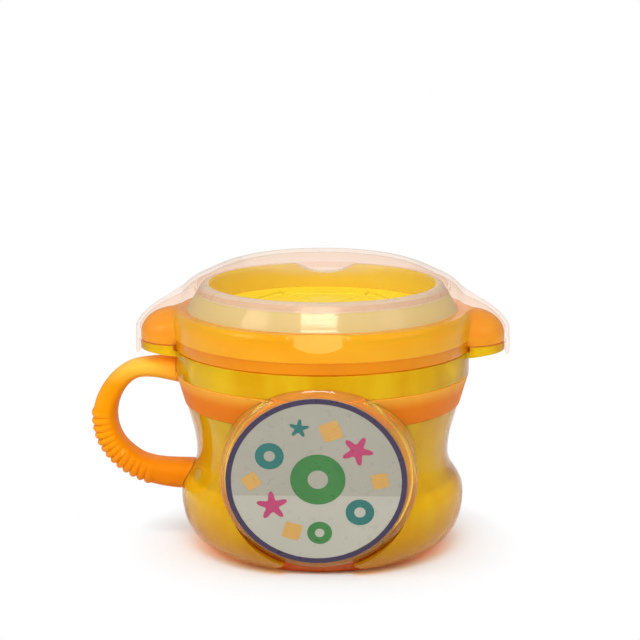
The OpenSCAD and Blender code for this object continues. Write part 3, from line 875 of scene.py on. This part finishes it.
# Printed paper under a gloss film
def printInk(name, first, second, size=9):
    material, shader = newFinish(name)
    colour = mixedColours(material, clouds(material, size, 3), seen(*first), seen(*second))
    join(material, colour, shader.inputs["Base Color"])
    join(material, ranged(material, clouds(material, 2.5), 0.3, 0.7, 0.26, 0.36), shader.inputs["Roughness"])
    shader.inputs["Coat Weight"].default_value = 0.1
    relief(material, shader, 3, 0.008)
    return material


def sealRubber():
    material, shader = newFinish("sealWhiteRubber")
    colour = mixedColours(material, clouds(material, 10, 2), seen(236, 232, 222), seen(246, 243, 236))
    join(material, colour, shader.inputs["Base Color"])
    join(material, ranged(material, clouds(material, 2), 0.3, 0.7, 0.45, 0.6), shader.inputs["Roughness"])
    relief(material, shader, 0.6, 0.02)
    return material


def lidPlastic(name="lidOrangePlastic", first=(255, 174, 20), second=(255, 188, 36)):
    material, shader = newFinish(name)
    cloud = clouds(material, 24, 3, (1, 1, 2))
    colour = mixedColours(material, ranged(material, cloud, 0.3, 0.7, 0, 1), seen(*first), seen(*second))
    join(material, colour, shader.inputs["Base Color"])
    shader.inputs["Transmission Weight"].default_value = 0.22
    shader.inputs["IOR"].default_value = 1.47
    shader.inputs["Subsurface Weight"].default_value = 0.1
    # A warm specular tint: painted reflection of the orange around it
    shader.inputs["Specular Tint"].default_value = seen(255, 214, 150)
    join(material, ranged(material, clouds(material, 9), 0.25, 0.75, 0.14, 0.24), shader.inputs["Roughness"])
    relief(material, shader, 7, 0.05)
    lampsPass(material, shader, seen(255, 180, 90), 0.7)
    return material


# The lid's lower edge, the lid's plastic painted deeper as shade where the threads behind it darken it
def lipShadedPlastic():
    return lidPlastic("lidLipShadedPlastic", (238, 146, 0), (246, 158, 6))


# The well's wall, lit through by the yellow below it
def wellPlastic():
    return lidPlastic("lidWellPlastic", (255, 224, 42), (255, 232, 64))


# The thumb notch, a touch paler than the rest of the lid: a painted highlight for the light it catches
def notchHighlightPlastic():
    return lidPlastic("lidNotchPaintedHighlight", (252, 172, 24), (255, 184, 44))


# The thin raised rim: the lid's plastic painted a pale olive cream for the reflections in the clear cap over it, and
# less clear than the rest of the lid
def rimReflectionPlastic():
    material, shader = newFinish("lidRimPaintedReflection")
    cloud = clouds(material, 20, 3)
    colour = mixedColours(material, cloud, seen(216, 214, 150), seen(228, 225, 168))
    join(material, colour, shader.inputs["Base Color"])
    shader.inputs["Transmission Weight"].default_value = 0.06
    shader.inputs["IOR"].default_value = 1.47
    join(material, ranged(material, clouds(material, 8), 0.25, 0.75, 0.07, 0.14), shader.inputs["Roughness"])
    relief(material, shader, 6, 0.04)
    lampsPass(material, shader, seen(255, 214, 110), 0.7)
    return material


# The rim's crest: a rougher face painted pale grey for the reflection of the white surroundings on it
def crestReflectionPlastic():
    material, shader = newFinish("lidCrestPaintedReflection")
    colour = mixedColours(material, clouds(material, 12, 3), seen(212, 210, 196), seen(224, 221, 208))
    join(material, colour, shader.inputs["Base Color"])
    join(material, ranged(material, clouds(material, 4), 0.25, 0.75, 0.22, 0.36), shader.inputs["Roughness"])
    relief(material, shader, 6, 0.03)
    lampsPass(material, shader, seen(255, 226, 160), 0.7)
    return material


# Soft yellow elastomer of the ring and flaps
def flapElastomer():
    material, shader = newFinish("flapYellowElastomer")
    cloud = clouds(material, 12, 3)
    colour = mixedColours(material, cloud, seen(255, 244, 20), seen(255, 250, 44))
    join(material, colour, shader.inputs["Base Color"])
    join(material, ranged(material, clouds(material, 4), 0.25, 0.75, 0.28, 0.42), shader.inputs["Roughness"])
    shader.inputs["Subsurface Weight"].default_value = 0.2
    shader.inputs["Subsurface Radius"].default_value = (0.004, 0.003, 0.001)
    relief(material, shader, 0.7, 0.02)
    return material


# Clear cap: see-through with a faint body, tinted peach as a painted reflection of the orange lid, that shows more
# where the wall is seen edge on
def capPlastic():
    material, shader = newFinish("capClearPlastic")
    colour = mixedColours(material, clouds(material, 30, 3), seen(222, 200, 176), seen(232, 214, 194))
    join(material, colour, shader.inputs["Base Color"])
    shader.inputs["IOR"].default_value = 1.46
    join(material, ranged(material, clouds(material, 5, 4), 0.35, 0.8, 0.03, 0.1), shader.inputs["Roughness"])
    relief(material, shader, 11, 0.05)
    edge = addNode(material, "ShaderNodeLayerWeight", Blend=0.5)
    steep = addNode(material, "ShaderNodeMath", operation="POWER")
    steep.inputs[1].default_value = 8
    join(material, edge.outputs["Facing"], steep.inputs[0])
    body = ranged(material, steep.outputs[0], 0, 1, 0.02, 0.55)
    clear = addNode(material, "ShaderNodeBsdfTransparent", Color=seen(255, 248, 243))
    mix = addNode(material, "ShaderNodeMixShader")
    join(material, body, mix.inputs[0])
    join(material, clear.outputs[0], mix.inputs[1])
    join(material, shader.outputs[0], mix.inputs[2])
    join(material, mix.outputs[0], material.node_tree.nodes["Material Output"].inputs["Surface"])
    return material


# Pieces and what they stand for

cupFinish, lidFinish, flapFinish = cupPlastic(), lidPlastic(), flapElastomer()
finish(makeCup(), "cup", "cup_yellow", [cupFinish], "cup_body")
print("cup made")
finish(makeFoot(), "cup", "foot_orange", [footPlastic()], "base_foot")
finish(makeHandle(), "cup", "handle_orange", [gripElastomer(), collarShadedElastomer()], "handle_collar")
print("foot and handle made")
finish(makePlate(), "cup", "plate_clear", [platePlastic()], "label_plate")
inks = [printInk("labelGround", (160, 156, 140), (170, 166, 151), 30),
        printInk("labelRing", (46, 30, 64), (56, 38, 76)),
        printInk("labelTable", (176, 173, 158), (186, 183, 169), 30),
        printInk("labelGreen", (36, 108, 50), (62, 132, 56)),
        printInk("labelTeal", (20, 98, 94), (36, 118, 110)),
        printInk("labelMagenta", (170, 46, 92), (188, 62, 108)),
        printInk("labelGold", (200, 150, 70), (212, 166, 88))]
finish(makeLabel(), "cup", "label_print", inks, "front_label")
finish(makeSeal(), "seal", "seal_white", [sealRubber()], "lid_seal")
print("plate, label and seal made")
lidFinishes = [lidFinish, rimReflectionPlastic(), lipShadedPlastic(), wellPlastic(), crestReflectionPlastic(), notchHighlightPlastic()]
finish(makeLid(), "lid", "lid_orange", lidFinishes, "lid_shell")
finish(makeFlapRing(), "lid", "flap_yellow", [flapFinish], "flap_ring")
for index in range(flaps["count"]):
    finish(makePetal(index), f"flap_{index + 1}", "flap_yellow", [flapFinish], f"flap_{index + 1}")
print("lid and flaps made")
finish(makeCap(), "cap", "cap_clear", [capPlastic()], "stay_fresh_cap")
print("cap made")

# Floor, light and camera

studio = {"floor": 0.97, "sky": 0.48, "keyPower": 5.6, "keyWidth": 0.45, "keyDepth": 0.3, "leftPower": 1.4,
          "rightPower": 0.4, "backPower": 0.12}


# White to the camera and through clear plastic, plain to the rest
def whiteWhenSeen(tree, path):
    most = tree.nodes.new("ShaderNodeMath")
    most.operation = "MAXIMUM"
    tree.links.new(path.outputs["Is Camera Ray"], most.inputs[0])
    tree.links.new(path.outputs["Is Transmission Ray"], most.inputs[1])
    return most.outputs[0]


def makeWorld():
    world = bpy.data.worlds.new("studio")
    bpy.context.scene.world = world
    world.use_nodes = True
    tree = world.node_tree
    light = tree.nodes["Background"]
    light.inputs["Color"].default_value = (1, 1, 1, 1)
    light.inputs["Strength"].default_value = studio["sky"]
    white = tree.nodes.new("ShaderNodeBackground")
    mix = tree.nodes.new("ShaderNodeMixShader")
    path = tree.nodes.new("ShaderNodeLightPath")
    tree.links.new(whiteWhenSeen(tree, path), mix.inputs[0])
    tree.links.new(light.outputs[0], mix.inputs[1])
    tree.links.new(white.outputs[0], mix.inputs[2])
    tree.links.new(mix.outputs[0], tree.nodes["World Output"].inputs["Surface"])
    white.inputs["Color"].default_value = (1, 1, 1, 1)


# The floor fades to plain white away from the object
def makeFloor():
    size = 3000
    floor = newObject("floor", [(-size, -size, 0), (size, -size, 0), (size, size, 0), (-size, size, 0)],
                      [(0, 1, 2, 3)])
    material, shader = newFinish("floorPaper")
    shader.inputs["Base Color"].default_value = (studio["floor"],) * 3 + (1,)
    shader.inputs["Roughness"].default_value = 0.8
    shader.inputs["Specular IOR Level"].default_value = 0.1
    where = addNode(material, "ShaderNodeTexCoord")
    length = addNode(material, "ShaderNodeVectorMath", operation="LENGTH")
    join(material, where.outputs["Object"], length.inputs[0])
    far = ranged(material, length.outputs["Value"], 0.04, 0.07, 0, 1)
    path = addNode(material, "ShaderNodeLightPath")
    seenWhite = whiteWhenSeen(material.node_tree, path)
    both = addNode(material, "ShaderNodeMath", operation="MULTIPLY")
    join(material, far, both.inputs[0])
    join(material, seenWhite, both.inputs[1])
    glow = addNode(material, "ShaderNodeEmission", Strength=1.0)
    mix = addNode(material, "ShaderNodeMixShader")
    join(material, both.outputs[0], mix.inputs[0])
    join(material, shader.outputs[0], mix.inputs[1])
    join(material, glow.outputs[0], mix.inputs[2])
    join(material, mix.outputs[0], material.node_tree.nodes["Material Output"].inputs["Surface"])
    floor.data.materials.append(material)


def makeLamp(name, power, size, place, target=(0, 0, 0.05), sizeY=None):
    data = bpy.data.lights.new(name, "AREA")
    data.energy = power
    data.shape = "RECTANGLE"
    data.size = size
    data.size_y = sizeY or size
    lamp = bpy.data.objects.new(name, data)
    bpy.context.collection.objects.link(lamp)
    lamp.location = place
    lamp.rotation_euler = (Vector(target) - Vector(place)).to_track_quat("-Z", "Y").to_euler()
    return lamp


def makeCamera():
    view = {"lens": 111.3, "distance": 0.6818, "height": 0.2138, "down": 11.07, "round": 1.6, "across": 2.4}
    data = bpy.data.cameras.new("camera")
    data.lens = view["lens"]
    data.sensor_width = 36
    data.shift_x = -view["across"] / 640
    camera = bpy.data.objects.new("camera", data)
    bpy.context.collection.objects.link(camera)
    turn = math.radians(view["round"])
    camera.location = (view["distance"] * math.sin(turn), -view["distance"] * math.cos(turn), view["height"])
    camera.rotation_euler = (math.radians(90 - view["down"]), 0, turn)
    bpy.context.scene.camera = camera


makeWorld()
makeFloor()
makeLamp("keyLamp", studio["keyPower"], studio["keyWidth"], (-0.02, -0.62, 0.86), sizeY=studio["keyDepth"])
makeLamp("leftLamp", studio["leftPower"], 0.35, (-0.75, -0.35, 0.6))
makeLamp("rightLamp", studio["rightPower"], 0.3, (0.7, -0.25, 0.55))
makeLamp("backLamp", studio["backPower"], 0.25, (0, 0.9, 0.27), target=(0, 0, 0.09))
makeCamera()
bpy.context.scene.view_settings.view_transform = "Standard"
print("studio made")
